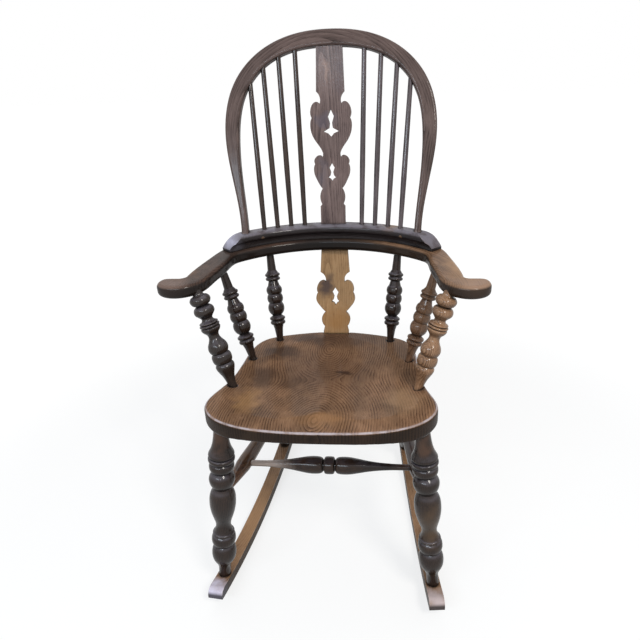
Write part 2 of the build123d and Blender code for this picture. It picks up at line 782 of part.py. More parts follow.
with BuildPart() as upper_splat:
    with BuildSketch(upper_splat_plane):
        with BuildLine():
            Polyline(
                (0, -SPLAT_TENON),
                (UPPER_SPLAT_FOOT, -SPLAT_TENON),
                (UPPER_SPLAT_FOOT, 39.5),
                (24.5, 44),
            )
            ThreePointArc((24.5, 44), (28.5, 61), (22.6, 79))
            fret((22.6, 79), 1.0, (40.5, 114), (38, 133), (39.3, 142), (29.5, 152), (20, 147))
            Line((20, 147), (19.3, 156))
            fret((19.3, 156), 0.3, (46, 210), (42.5, 231), (45.3, 246), (34.5, 264), (24, 260))
            ThreePointArc((24, 260), (22.8, 271), (31, 285))
            Polyline(
                (31, 285),
                (UPPER_SPLAT_HEAD, UPPER_SPLAT_RISE - 4),
                (UPPER_SPLAT_HEAD, UPPER_SPLAT_RISE + SPLAT_TENON),
                (0, UPPER_SPLAT_RISE + SPLAT_TENON),
            )
            mirror(about=Plane.YZ)
        make_face()
        spade(191, 249, 17, 6.8, 2.6)
        spade(95.5, 135, 8.4, 6, 2.6)
    extrude(amount=SPLAT_THICK / 2, both=True)
save(upper_splat, "upper_splat")

with BuildPart() as lower_splat:
    with BuildSketch(lower_splat_plane):
        with BuildLine():
            Polyline(
                (0, -SPLAT_TENON),
                (LOWER_SPLAT_FOOT, -SPLAT_TENON),
                (LOWER_SPLAT_FOOT, 5),
                (27.8, 18),
            )
            ThreePointArc((27.8, 18), (34.8, 36), (24.7, 54))
            fret((24.7, 54), 1.2, (47, 84), (43, 102), (44.3, 116), (34, 131), (23, 128))
            ThreePointArc((23, 128), (23, 138), (35, 152))
            Polyline(
                (35, 152),
                (LOWER_SPLAT_HEAD, LOWER_SPLAT_RISE - 4),
                (LOWER_SPLAT_HEAD, LOWER_SPLAT_RISE + SPLAT_TENON),
                (0, LOWER_SPLAT_RISE + SPLAT_TENON),
            )
            mirror(about=Plane.YZ)
        make_face()
        spade(71.5, 114, 9.6, 7.3, 3)
    extrude(amount=SPLAT_THICK / 2, both=True)
save(lower_splat, "lower_splat")
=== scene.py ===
from functools import partial
from math import cos, pi, sin

import bmesh
import bpy
import numpy as np
from mathutils import Matrix, Vector


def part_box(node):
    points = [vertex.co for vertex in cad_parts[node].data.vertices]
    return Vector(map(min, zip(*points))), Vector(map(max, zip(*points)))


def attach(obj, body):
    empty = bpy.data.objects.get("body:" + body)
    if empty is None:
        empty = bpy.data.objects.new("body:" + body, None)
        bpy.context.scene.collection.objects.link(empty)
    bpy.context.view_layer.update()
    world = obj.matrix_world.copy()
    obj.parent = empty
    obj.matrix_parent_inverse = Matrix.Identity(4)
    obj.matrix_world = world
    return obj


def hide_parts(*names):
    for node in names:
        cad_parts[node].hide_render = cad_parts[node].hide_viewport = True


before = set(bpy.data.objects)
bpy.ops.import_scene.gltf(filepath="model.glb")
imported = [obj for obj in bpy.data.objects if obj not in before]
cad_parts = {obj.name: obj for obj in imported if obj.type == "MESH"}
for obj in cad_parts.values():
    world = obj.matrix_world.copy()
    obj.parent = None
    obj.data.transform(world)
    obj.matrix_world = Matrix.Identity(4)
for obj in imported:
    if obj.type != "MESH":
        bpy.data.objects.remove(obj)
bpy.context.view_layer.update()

# Lengths are in metres, as in the frame, except where a comment says mm.
# The chair faces -Y. Left and right are the photo's, with +X to the right.

MM = 1000.0
ALONG_X = Vector((1, 0, 0))
ALONG_Y = Vector((0, 1, 0))
UP = Vector((0, 0, 1))

# ---------------------------------------------------------------- shader graphs

NOISE_MEAN = 0.5
MIX_INPUTS = (0, 6, 7)                     # a Mix node's sockets for the share and the two colours
MIX_RESULT = 2


class Graph:
    """Adds nodes to a shader tree. Every call takes sockets or plain values."""

    def __init__(self, tree):
        self.tree = tree
        tree.nodes.clear()

    def node(self, kind, *values, **settings):
        """A node with these settings, and these values in its first sockets."""
        made = self.tree.nodes.new(kind)
        for name, value in settings.items():
            setattr(made, name, value)
        for socket, value in zip(made.inputs, values):
            self.feed(socket, value)
        return made

    def feed(self, socket, value):
        if isinstance(value, bpy.types.NodeSocket):
            self.tree.links.new(value, socket)
        else:
            socket.default_value = value

    def math(self, operation, *values, clamp=False):
        return self.node("ShaderNodeMath", *values, operation=operation, use_clamp=clamp).outputs[0]

    def product(self, first, *others):
        for other in others:
            first = self.math("MULTIPLY", first, other)
        return first

    def vector(self, operation, *values):
        made = self.node("ShaderNodeVectorMath", *values, operation=operation)
        scalar = operation in ("LENGTH", "DOT_PRODUCT")
        return made.outputs["Value" if scalar else "Vector"]

    def join(self, x, y, z):
        return self.node("ShaderNodeCombineXYZ", x, y, z).outputs[0]

    def split(self, vector):
        return self.node("ShaderNodeSeparateXYZ", vector).outputs

    def noise_texture(self, place, size, detail):
        made = self.node("ShaderNodeTexNoise")
        self.feed(made.inputs["Vector"], self.vector("DIVIDE", place, size))
        made.inputs["Scale"].default_value = 1.0
        made.inputs["Detail"].default_value = detail
        return made

    def noise(self, place, size, detail=2.0):
        """Noise round NOISE_MEAN, with blobs of this size (one number for each axis)."""
        return self.noise_texture(place, size, detail).outputs[0]

    def noise_vector(self, place, size, detail=2.0):
        """Three such noises, as a vector."""
        return self.noise_texture(place, size, detail).outputs[1]

    def band(self, value, none, full):
        """0 up to none, 1 from full on, smooth between; none may be above full."""
        made = self.node("ShaderNodeMapRange", value, interpolation_type="SMOOTHSTEP")
        flip = none > full
        made.inputs["From Min"].default_value = min(none, full)
        made.inputs["From Max"].default_value = max(none, full)
        made.inputs["To Min"].default_value = float(flip)
        made.inputs["To Max"].default_value = float(not flip)
        return made.outputs[0]

    def blend(self, share, first, second, blend_type="MIX"):
        made = self.node("ShaderNodeMix", data_type="RGBA", blend_type=blend_type)
        for index, value in zip(MIX_INPUTS, (share, first, second)):
            self.feed(made.inputs[index], value)
        return made.outputs[MIX_RESULT]

    def ramp(self, value, *stops):
        """Colours by value; a stop is (value, colour)."""
        made = self.node("ShaderNodeValToRGB", value)
        elements = made.color_ramp.elements
        while len(elements) < len(stops):
            elements.new(0.5)              # anywhere between its two ends, as the stops are set below
        for element, (position, colour) in zip(elements, stops):
            element.position = position
            element.color = colour
        return made.outputs[0]

    def mix_shaders(self, share, first, second):
        return self.node("ShaderNodeMixShader", share, first.outputs[0], second.outputs[0])

    def surface(self, shader, output="ShaderNodeOutputMaterial"):
        """Ends the graph in this shader."""
        self.feed(self.node(output).inputs["Surface"], shader.outputs[0])


def seen(red, green, blue):
    """A colour given as it looks on a screen, 0 to 255, as the shader wants it, by the sRGB curve."""
    parts = [channel / 255 for channel in (red, green, blue)]
    linear = [part / 12.92 if part < 0.04045 else ((part + 0.055) / 1.055) ** 2.4 for part in parts]
    return (*linear, 1.0)


def grey(level):
    return (level, level, level, 1.0)


def principled(graph, **constants):
    """Ends a graph in a Principled shader with these constants; _ in a name stands for a space."""
    shader = graph.node("ShaderNodeBsdfPrincipled")
    for name, value in constants.items():
        shader.inputs[name.replace("_", " ")].default_value = value
    graph.surface(shader)
    return shader


def add_bump(graph, shader, height, strength, depth):
    bump = graph.node("ShaderNodeBump")
    bump.inputs["Strength"].default_value = strength
    bump.inputs["Distance"].default_value = depth
    graph.feed(bump.inputs["Height"], height)
    graph.feed(shader.inputs["Normal"], bump.outputs[0])


def new_material(name):
    material = bpy.data.materials.new(name)
    material.use_nodes = True
    return material, Graph(material.node_tree)


def new_object(name, data):
    made = bpy.data.objects.new(name, data)
    bpy.context.scene.collection.objects.link(made)
    return made


def read_rows(items, attribute, width, kind=float):
    """One attribute of all of a mesh's items, in a row for each."""
    values = np.empty(len(items) * width, kind)
    items.foreach_get(attribute, values)
    return values.reshape(-1, width)


# ---------------------------------------------------------------- which way the grain runs
# A function whose name ends in _grain gives, in mm, a place in the board that the piece was cut from:
# Z along the fibres, X and Y across them.

ASKEW = Vector((0.31, 1, 0.17))            # along no piece, so that the boards' faces lie at odd angles
BOW_CENTRE = Vector((0, -0.195, 0.7))      # of the arms' curve
BOW_RADIUS = 0.31
CREST_CENTRE = Vector((0, 0.1, 0.72))
HOOP_FOOT = Vector((0, 0.0371, 0.722))
HOOP_UP = Vector((0, 0.32, 1)).normalized()
HOOP_SPRING = 0.215                        # height where the hoop's sides start to close
HOOP_RADIUS = 0.21
HOOP_SPLAY = 0.1                           # how much its sides close towards their feet


def straight_grain(graph, place, origin, along, through=ASKEW):
    """Along a line; through points roughly through the board's thickness."""
    across = through.cross(along).normalized()
    depth = along.cross(across)
    moved = graph.vector("SUBTRACT", place, origin)
    parts = [graph.vector("DOT_PRODUCT", moved, tuple(axis * MM)) for axis in (across, depth, along)]
    return graph.join(*parts)


def bow_grain(graph, place, centre, radius):
    """Round an upright axis; the angle is measured from +Y, so it only breaks at the front."""
    x, y, z = graph.split(graph.vector("SUBTRACT", place, centre))
    angle = graph.math("ARCTAN2", x, y)
    out = graph.math("SUBTRACT", graph.vector("LENGTH", graph.join(x, y, 0.0)), radius)
    scales = ((out, MM), (z, MM), (angle, radius * MM))
    return graph.join(*[graph.math("MULTIPLY", part, scale) for part, scale in scales])


def hoop_grain(graph, place):
    """Up one side of the hoop, round its top and down the other."""
    moved = graph.vector("SUBTRACT", place, HOOP_FOOT + HOOP_UP * HOOP_SPRING)
    side = graph.split(moved)[0]
    height = graph.vector("DOT_PRODUCT", moved, HOOP_UP)
    depth = graph.vector("DOT_PRODUCT", moved, HOOP_UP.cross(ALONG_X) * MM)
    above = graph.math("MAXIMUM", height, 0.0)
    below = graph.math("MINIMUM", height, 0.0)
    reach = graph.vector("LENGTH", graph.join(side, above, 0.0))
    out = graph.math("SUBTRACT", reach, graph.math("MULTIPLY_ADD", below, HOOP_SPLAY, HOOP_RADIUS))
    turn = graph.math("MULTIPLY", graph.math("ARCTAN2", side, above), HOOP_RADIUS * MM)
    drop = graph.product(below, graph.math("SIGN", side), -MM)
    return graph.join(graph.math("MULTIPLY", out, MM), depth, graph.math("ADD", turn, drop))


def axis_of(node):
    """The middle of a long piece and the line that it lies along, from its surface."""
    mesh = node.data
    mesh.calc_loop_triangles()
    points = read_rows(mesh.vertices, "co", 3)
    triangles = points[read_rows(mesh.loop_triangles, "vertices", 3, int)]
    edges = triangles[:, 1:] - triangles[:, :1]
    weight = np.linalg.norm(np.cross(edges[:, 0], edges[:, 1]), axis=1)
    middles = triangles.mean(1)
    origin = (middles * weight[:, None]).sum(0) / weight.sum()
    offsets = middles - origin
    directions = np.linalg.eigh((offsets * weight[:, None]).T @ offsets)[1]
    along = Vector(directions[:, -1])
    return Vector(origin), along if along.z + along.x > 0 else -along


def grain_of_node(name, node):
    if name == "hoop":
        return hoop_grain
    if name.endswith("_arm"):
        return partial(bow_grain, centre=BOW_CENTRE, radius=BOW_RADIUS)
    if name == "crest_rail":
        return partial(straight_grain, origin=CREST_CENTRE, along=ALONG_X, through=UP)
    origin, along = axis_of(node)
    return partial(straight_grain, origin=origin, along=along)


# ---------------------------------------------------------------- the figure of the wood

LOG_BENDS = (70.0, 70.0, 300.0)            # mm, the size of the bends in the rings
SEAT_BENDS = (55.0, 55.0, 90.0)
SEAT_WANDER = (10.0, 10.0, 16.0)           # mm that the seat's rings stray
SEAT_EYES = ((8.0, -300.0), (14.0, 10.0))  # mm to the left and to the back, of the middles of its rings
SEAT_EYE_SCALE = (1.0, 0.9, 0.55)          # across, through and along the board; its rings are long
SEAT_EYE_DELAY = 14.0                      # mm that the second eye's rings start later
SEAT_EYE_MERGE = 30.0                      # mm over which the two eyes' rings run into each other

EARLY_POWER = 1.8                          # how fast a ring's dark early wood fades
YEAR_SIZE = (3.1, 1.0, 1.0)                # how many rings in a row are alike
YEAR_LEAST = 0.6                           # a faint year's share of the rings' depth
YEAR_SPREAD = 0.8
FADE_SIZE = (30.0, 30.0, 60.0)             # mm, of the places where the rings fade
FADE_BAND = (0.3, 0.6)
PORE_BAND = (0.56, 0.70)
LATE_PORES = 0.25                          # how strong the pores are outside the early wood
BASE_LIGHT = 0.66


def rings_of_log(graph, grain, look):
    """Distance from the heart of the tree, in growth rings, and the wandering grain."""
    bends = graph.noise_vector(grain, LOG_BENDS)
    wandering = graph.vector("MULTIPLY_ADD", bends, (look["wander"], look["wander"], 0.0), grain)
    x, y, z = graph.split(graph.vector("MULTIPLY", wandering, (1.0, 1.0, look["taper"])))
    from_heart = [graph.math("ADD", part, middle) for part, middle in zip((x, y), look["heart"])]
    reach = graph.vector("LENGTH", graph.join(*from_heart, 0.0))
    return graph.math("DIVIDE", graph.math("ADD", reach, z), look["ring"]), wandering


def rings_of_seat(graph, grain, look):
    """The seat is flat-sawn: its rings close round two eyes, one of them near the front edge."""
    bends = graph.noise_vector(grain, SEAT_BENDS)
    wandering = graph.vector("MULTIPLY_ADD", bends, SEAT_WANDER, grain)
    reaches = []
    for left, back in SEAT_EYES:
        away = graph.vector("SUBTRACT", wandering, (left, 0.0, back))
        reaches.append(graph.vector("LENGTH", graph.vector("MULTIPLY", away, SEAT_EYE_SCALE)))
    later = graph.math("ADD", reaches[1], SEAT_EYE_DELAY)
    nearer = graph.math("SMOOTH_MIN", reaches[0], later, SEAT_EYE_MERGE)
    return graph.math("DIVIDE", nearer, look["ring"]), wandering


def wood_figure(graph, grain, rings, look):
    """Light and dark of the grain, 0 to 1, and its pores."""
    early = graph.math("POWER", graph.math("SUBTRACT", 1.0, graph.math("FRACT", rings)), EARLY_POWER)
    years = graph.noise(graph.join(rings, 0.0, 0.0), YEAR_SIZE, detail=1.0)
    strength = graph.math("MULTIPLY_ADD", years, YEAR_SPREAD, YEAR_LEAST)
    fade = graph.band(graph.noise(grain, FADE_SIZE), *FADE_BAND)
    depth = graph.product(strength, look["ring_depth"], fade)
    pores = graph.band(graph.noise(grain, look["pore"], detail=1.0), *PORE_BAND)
    pores = graph.product(pores, graph.math("MULTIPLY_ADD", early, 1 - LATE_PORES, LATE_PORES))
    fibre = graph.math("SUBTRACT", graph.noise(grain, look["fibre"], detail=3.0), NOISE_MEAN)
    light = graph.math("MULTIPLY_ADD", fibre, look["fibre_depth"], BASE_LIGHT)
    light = graph.math("SUBTRACT", light, graph.product(early, depth))
    light = graph.math("SUBTRACT", light, graph.product(pores, look["pore_depth"]), clamp=True)
    return light, pores


# ---------------------------------------------------------------- looks
# Colours are as they look on a screen, 0 to 255.

LOOK = {
    "deep": (13, 10, 9),                   # the three tones of the figure
    "mid": (38, 27, 22),
    "pale": (70, 52, 42),
    # colour of rubbed edges, and of the painted highlight along a rounded lip
    "worn": (118, 104, 96),
    # colour of the dirt in grooves, and of the painted shade on sides and undersides
    "grime": (14, 11, 10),
    # colour of the painted sheen, a bluish highlight
    "polish": (112, 108, 118),
    "wander": 12.0,                        # mm that the rings stray sideways
    "taper": 0.03,                         # how fast a ring comes up through the board
    "heart": (18.0, 34.0),                 # mm from the piece's middle to the tree's
    "ring": 3.2,                           # mm
    "ring_depth": 0.4,                     # of 1, the whole way from pale to deep
    "pore": (0.6, 0.6, 14.0),              # mm across, through and along the grain
    "pore_depth": 0.4,
    "fibre": (1.1, 1.1, 60.0),             # mm
    "fibre_depth": 0.6,
    "blotch": 90.0,                        # mm
    "blotch_depth": 0.45,
    "rough": 0.44,
    "coat": 0.5,
    "coat_rough": 0.12,
    "groove": 0.009,                       # how far a groove's dirt reaches
    "edge": 0.003,                         # how far an edge is worn
    "edge_wear": 0.5,
    "lip": 0.0,                            # painted highlight along a rounded upper edge, broken in patches like wear
    "bloom": 0.0,                          # painted bluish sheen, a highlight on shoulders that look up
    "under": 0.0,                          # painted shade on faces that look down
    "side_dark": 0.0,                      # painted shade: how much darker the faces that don't look up are
}

LOOKS = {
    "seat_wood": {
        "deep": (56, 38, 28),
        "mid": (128, 95, 71),
        "pale": (174, 138, 106),
        # bluish white: the seat's rubbed edges and the painted highlight along its lip
        "worn": (182, 172, 176),
        "ring": 5.2,
        "ring_depth": 0.5,
        "blotch": 60.0,
        "blotch_depth": 0.4,
        "coat": 0.15,
        "rough": 0.5,
        # painted shade on the seat's sides and front edge, and a painted highlight along its lip
        "side_dark": 0.9,
        "lip": 0.85,
    },
    # painted sheen on the turnings' shoulders, and painted shade on their undersides
    "turned_wood": {"bloom": 0.4, "under": 0.6},
    "bow_wood": {
        "deep": (34, 25, 21),
        "mid": (70, 52, 44),
        "pale": (112, 86, 72),
        "worn": (140, 122, 116),
        "coat": 0.25,
        "rough": 0.5,
        # painted shade on the arms' sides
        "side_dark": 0.88,
    },
    "stick_wood": {"mid": (54, 41, 36), "pale": (86, 68, 58), "blotch": 60.0},
    "splat_wood": {
        "deep": (54, 44, 46),
        "mid": (112, 95, 92),
        "pale": (158, 138, 132),
        "coat": 0.12,
        "rough": 0.5,
        "heart": (0.0, 26.0),
        "ring": 4.0,
    },
    "stretcher_wood": {
        "deep": (20, 13, 10),
        "mid": (52, 35, 25),
        "pale": (92, 64, 46),
        # painted sheen on the shoulders, and painted shade below
        "bloom": 0.15,
        "under": 0.6,
    },
    "rocker_wood": {
        "deep": (66, 44, 30),
        "mid": (144, 110, 82),
        "pale": (178, 144, 114),
        "worn": (186, 168, 156),
        "coat": 0.12,
        "rough": 0.5,
        # painted shade on the rockers' sides
        "side_dark": 0.85,
    },
    "peg_wood": {"mid": (112, 88, 66), "pale": (140, 112, 86)},
}

NODE_LOOKS = {
    # its greyish tones are partly a painted reflection of the bluish sky over the brown wood
    "hoop": {"side_dark": 0.0, "mid": (92, 76, 72), "pale": (132, 114, 108)},
    "crest_rail": {
        # bluish-grey tones and the sheen: a painted highlight along the nose; the side shade is painted
        # shade on the front
        "mid": (88, 78, 80),
        "pale": (130, 122, 128),
        "polish": (134, 131, 142),
        "bloom": 0.5,
        "side_dark": 0.8,
    },
    # paler, golden tones: painted warm light on the right side
    "right_arm": {"mid": (122, 92, 70), "pale": (170, 134, 104)},
    # darker, greyer tones: painted shade on the left side
    "left_arm_post": {"mid": (46, 38, 34), "pale": (76, 64, 56)},
    # paler, golden tones: painted warm light on the right side, with lighter painted shade below
    "right_arm_post": {
        "deep": (56, 38, 26),
        "mid": (138, 104, 78),
        "pale": (200, 160, 124),
        "bloom": 0.0,
        "under": 0.4,
    },
    # paler, golden tones: painted warm light on the right side, with lighter painted shade below
    "right_side_spindle": {
        "deep": (50, 34, 25),
        "mid": (116, 84, 62),
        "pale": (168, 130, 98),
        "bloom": 0.0,
        "under": 0.4,
    },
    "left_side_stretcher": {"deep": (48, 30, 18), "mid": (100, 68, 42), "pale": (146, 104, 70)},
    "lower_splat": {
        "deep": (100, 74, 52),
        "mid": (164, 130, 94),
        "pale": (196, 162, 122),
        "ring_depth": 0.25,
    },
    # paler, bluish-grey tones: a painted sheen along the right back spindles
    **{
        f"right_back_spindle_{number}": {"mid": (88, 78, 80), "pale": (128, 118, 124)}
        for number in (1, 2, 3, 4)
    },
}

# Stains, worn patches, and patches of painted highlight, light and shade: middle, half sizes, colour,
# share.
NODE_SPOTS = {
    "left_rocker": (
        # painted bluish highlight on the toe
        ((-0.232, -0.335, 0.04), (0.045, 0.045, 0.04), (214, 208, 226), 0.95),     # toe
        ((-0.2, -0.1, 0.03), (0.06, 0.2, 0.05), (172, 134, 98), 0.6),
        ((-0.16, 0.25, 0.08), (0.06, 0.16, 0.06), (178, 148, 124), 0.6),           # heel
    ),
    "right_rocker": (
        # painted bluish highlight on the toe
        ((0.232, -0.335, 0.04), (0.045, 0.04, 0.04), (200, 184, 184), 0.85),       # toe
    ),
    "left_arm": (
        ((-0.3, -0.17, 0.68), (0.06, 0.06, 0.05), (128, 106, 96), 0.6),            # hand
        ((-0.275, -0.11, 0.68), (0.035, 0.06, 0.05), (112, 82, 62), 0.6),
        ((-0.22, 0.0, 0.68), (0.07, 0.09, 0.05), (46, 38, 34), 0.7),               # bend
        # painted shade under the crest rail
        ((0.0, 0.09, 0.68), (0.18, 0.07, 0.05), (34, 27, 25), 0.9),                # under the crest rail
    ),
    "right_arm": (
        ((0.3, -0.17, 0.68), (0.06, 0.06, 0.05), (162, 132, 112), 0.6),            # hand
        ((0.275, -0.08, 0.68), (0.045, 0.1, 0.05), (166, 130, 96), 0.7),
        # painted shade under the crest rail
        ((0.0, 0.09, 0.68), (0.18, 0.07, 0.05), (34, 27, 25), 0.9),                # under the crest rail
    ),
    "crest_rail": (
        # painted bluish highlight on the left end
        ((-0.225, 0.02, 0.71), (0.035, 0.05, 0.03), (190, 188, 208), 0.85),        # left end
        ((0.14, 0.1, 0.72), (0.035, 0.05, 0.03), (150, 116, 84), 0.7),
    ),
    "right_front_leg": (
        ((0.215, -0.3, 0.21), (0.04, 0.05, 0.07), (92, 70, 48), 0.6),              # vase
        ((0.2, -0.29, 0.39), (0.03, 0.04, 0.03), (88, 62, 46), 0.6),               # neck
    ),
    "left_front_leg": (
        ((-0.2, -0.29, 0.4), (0.03, 0.04, 0.04), (94, 64, 46), 0.7),               # neck
    ),
    "cross_stretcher": (
        # painted light on the pale left half, and painted shade under the seat on the dark right half
        ((-0.16, -0.16, 0.244), (0.09, 0.06, 0.06), (206, 184, 170), 0.95),        # pale left half
        ((0.1, -0.16, 0.244), (0.09, 0.04, 0.04), (20, 17, 17), 0.7),              # dark right half
    ),
    "upper_splat": (
        ((-0.02, 0.15, 0.83), (0.024, 0.05, 0.07), (98, 92, 100), 0.6),            # lower spade
        ((0.03, 0.15, 1.04), (0.03, 0.05, 0.09), (88, 76, 78), 0.6),               # head's right edge
        ((-0.01, 0.15, 1.05), (0.01, 0.05, 0.03), (160, 134, 122), 0.5),           # head's pale streak
        ((-0.012, 0.15, 0.95), (0.03, 0.05, 0.02), (98, 90, 98), 0.6),             # upper spade
    ),
    "seat": (
        ((0.0, -0.1, 0.455), (0.15, 0.13, 0.05), (80, 56, 42), 0.5),               # the whole hollow
        ((0.02, 0.05, 0.455), (0.16, 0.06, 0.05), (72, 54, 45), 0.6),              # along the back
        ((-0.111, -0.026, 0.456), (0.07, 0.045, 0.05), (58, 42, 34), 0.75),        # darker patches on the left
        ((-0.134, -0.137, 0.458), (0.045, 0.06, 0.05), (66, 46, 34), 0.7),
        ((-0.067, -0.148, 0.458), (0.04, 0.04, 0.05), (74, 52, 38), 0.6),
        ((-0.060, 0.046, 0.454), (0.09, 0.03, 0.05), (62, 46, 38), 0.6),
        ((0.032, -0.105, 0.457), (0.026, 0.012, 0.05), (50, 32, 24), 0.9),         # crack
        ((-0.147, -0.235, 0.460), (0.035, 0.07, 0.05), (182, 138, 90), 0.4),       # pale rim, left,
        ((0.011, -0.300, 0.461), (0.07, 0.04, 0.05), (172, 126, 82), 0.35),        # in front
        ((0.160, -0.225, 0.460), (0.05, 0.08, 0.05), (176, 142, 108), 0.4),        # and right
    ),
    "lower_splat": (
        ((-0.02, 0.1, 0.575), (0.032, 0.05, 0.038), (80, 66, 62), 0.95),           # dark stain
        ((0.0, 0.1, 0.49), (0.06, 0.05, 0.06), (152, 110, 66), 0.7),               # foot
    ),
}

STEEL = {
    "dark": (72, 62, 54),
    "bright": (146, 142, 136),
    "grime": (24, 20, 18),
    "groove": 0.0015,                      # how far a groove's dirt reaches
    "blot": (0.002, 0.002, 0.002),         # size of the bright and tarnished blots
    "blot_band": (0.35, 0.65),
    "rough": 0.65,
    "blot_rough": -0.4,                    # what a bright blot adds to the roughness
    "scratch": (0.0002, 0.002, 0.002),
    "scratch_strength": 0.3,
    "scratch_depth": 0.0002,
}

# ---------------------------------------------------------------- colour, wear, dirt, and painted light and shade

TONES = {"deep": 0.05, "mid": 0.55, "pale": 1.0}   # the light at which the figure has each tone
BLOTCH_STRETCH = 1.8                       # a blotch's length by its width
BLOTCH_BAND = (0.3, 0.7)
BLOTCH_LIGHT = 1.12                        # how much brighter the lightest blotches are

OPEN_SAMPLES = 8
CAVITY_BAND = (0.88, 0.45)                 # share of open sky over a face, in the open and deep inside
CREST_BAND = (0.93, 0.55)                  # the same inside the wood, under a flat face and a sharp edge

SPOT_GRAIN = (0.03, 0.03, 0.03)            # size of the bends in a spot's ragged outline
SPOT_STRAY = 0.05                          # the most that the outline strays, from one side to the other
SPOT_BAND = (1.0, 0.25)                    # from a spot's outline to its full colour, in half sizes

PATCH_SIZE = (0.02, 0.02, 0.02)            # wear comes and goes in patches
PATCH_BAND = (0.35, 0.62)
# How far up a face looks, from 1 on top to -1 below: where the painted shade, highlight and sheen start and
# where they are full.
SIDE_SHADE_BAND = (0.75, 0.25)
LIP_HIGHLIGHT_OUTER_BAND = (0.5, 0.7)
LIP_HIGHLIGHT_INNER_BAND = (0.97, 0.88)
SHEEN_BAND = (0.3, 0.8)
UNDER_SHADE_BAND = (0.05, -0.5)
# The same by the patches, 0 to 1, for the painted highlight and sheen, which are only stronger in a patch.
LIP_HIGHLIGHT_PATCHES = (-0.8, 0.9)
SHEEN_PATCHES = (-0.4, 1.0)
GRIME_SHARE = 0.85


def pigment(graph, grain, light, look):
    """The figure in its three tones, under dark and light blotches."""
    colour = graph.ramp(light, *[(level, seen(*look[tone])) for tone, level in TONES.items()])
    size = look["blotch"]
    cloud = graph.noise(grain, (size, size, size * BLOTCH_STRETCH), detail=3.0)
    levels = (grey(1 - look["blotch_depth"]), grey(BLOTCH_LIGHT))
    return graph.blend(1.0, colour, graph.ramp(cloud, *zip(BLOTCH_BAND, levels)), "MULTIPLY")


def open_share(graph, reach, **settings):
    """1 for a face that nothing closes in, less where something is within reach."""
    made = graph.node("ShaderNodeAmbientOcclusion", samples=OPEN_SAMPLES, **settings)
    made.inputs["Distance"].default_value = reach
    return made.outputs["AO"]


def cavity(graph, reach):
    """1 deep in a groove or a corner, 0 in the open."""
    return graph.band(open_share(graph, reach, only_local=False), *CAVITY_BAND)


def crest(graph, reach):
    """1 on a sharp edge or a bead's crest, 0 on a flat face."""
    return graph.band(open_share(graph, reach, inside=True, only_local=True), *CREST_BAND)


def spotted(graph, place, colour, marks):
    """Lays soft, ragged patches over a colour: stains, worn patches, and painted highlights, light and
    shade.
    """
    ragged = graph.noise_vector(place, SPOT_GRAIN, detail=3.0)
    loose = graph.vector("MULTIPLY_ADD", ragged, (SPOT_STRAY, SPOT_STRAY, SPOT_STRAY), place)
    for middle, size, tint, share in marks:
        away = graph.vector("SUBTRACT", loose, tuple(part + SPOT_STRAY * NOISE_MEAN for part in middle))
        near = graph.band(graph.vector("LENGTH", graph.vector("DIVIDE", away, size)), *SPOT_BAND)
        colour = graph.blend(graph.product(near, share), colour, seen(*tint))
    return colour


def worn_and_painted_light(graph, place, colour, look):
    """Rubs the edges, paints a highlight along the lip and a bluish sheen on the shoulders, and paints
    shade on the sides and the undersides.
    """
    patchy = graph.band(graph.noise(place, PATCH_SIZE, detail=3.0), *PATCH_BAND)
    edges = graph.product(crest(graph, look["edge"]), patchy, look["edge_wear"])
    colour = graph.blend(edges, colour, seen(*look["worn"]))
    facing = graph.split(graph.node("ShaderNodeNewGeometry").outputs["Normal"])[2]
    # painted shade on the faces that don't look up
    if look["side_dark"]:
        shaded_sides = graph.product(graph.band(facing, *SIDE_SHADE_BAND), look["side_dark"])
        colour = graph.blend(shaded_sides, colour, seen(*look["grime"]))
    # painted highlight along the rounded lip, in the worn colour
    if look["lip"]:
        rounded = graph.product(graph.band(facing, *LIP_HIGHLIGHT_OUTER_BAND), graph.band(facing, *LIP_HIGHLIGHT_INNER_BAND))
        lip = graph.product(rounded, graph.band(patchy, *LIP_HIGHLIGHT_PATCHES), look["lip"])
        colour = graph.blend(lip, colour, seen(*look["worn"]))
    # painted sheen: a bluish highlight on shoulders that look up
    if look["bloom"]:
        sheen_shoulders = graph.product(graph.band(facing, *SHEEN_BAND), graph.band(patchy, *SHEEN_PATCHES))
        colour = graph.blend(graph.product(sheen_shoulders, look["bloom"]), colour, seen(*look["polish"]))
    # painted shade on faces that look down
    if look["under"]:
        below = graph.product(graph.band(facing, *UNDER_SHADE_BAND), look["under"])
        colour = graph.blend(below, colour, seen(*look["grime"]))
    return colour


# ---------------------------------------------------------------- materials

LOG_PLACES = 97                            # the pieces come from so many places along the log,
LOG_STEP = 13.0                            # so many mm apart
WOOD_SPECULAR = 0.06
SMEAR_SIZE = (0.035, 0.035, 0.035)         # of the smears in the polish
SMEAR_ROUGH = 0.3
PORE_ROUGH = 0.2
DIRT_ROUGH = 0.2
DENT_SIZE = (0.007, 0.007, 0.007)
DENT_HEIGHT = 0.8                          # shares of BUMP_DEPTH
FIGURE_HEIGHT = 0.5
PORE_HEIGHT = 0.25
BUMP_STRENGTH = 0.4
BUMP_DEPTH = 0.0006


def wood_roughness(graph, place, pores, dirt, look):
    smear = graph.math("SUBTRACT", graph.noise(place, SMEAR_SIZE, detail=3.0), NOISE_MEAN)
    rough = graph.math("MULTIPLY_ADD", smear, SMEAR_ROUGH, look["rough"])
    rough = graph.math("MULTIPLY_ADD", pores, PORE_ROUGH, rough)
    return graph.math("MULTIPLY_ADD", dirt, DIRT_ROUGH, rough, clamp=True)


def wood_height(graph, place, light, pores):
    """Small dents, the figure standing a little proud, and the pores sunk in."""
    dents = graph.noise(place, DENT_SIZE)
    height = graph.math("MULTIPLY_ADD", dents, DENT_HEIGHT, graph.product(light, FIGURE_HEIGHT))
    return graph.math("SUBTRACT", height, graph.product(pores, PORE_HEIGHT))


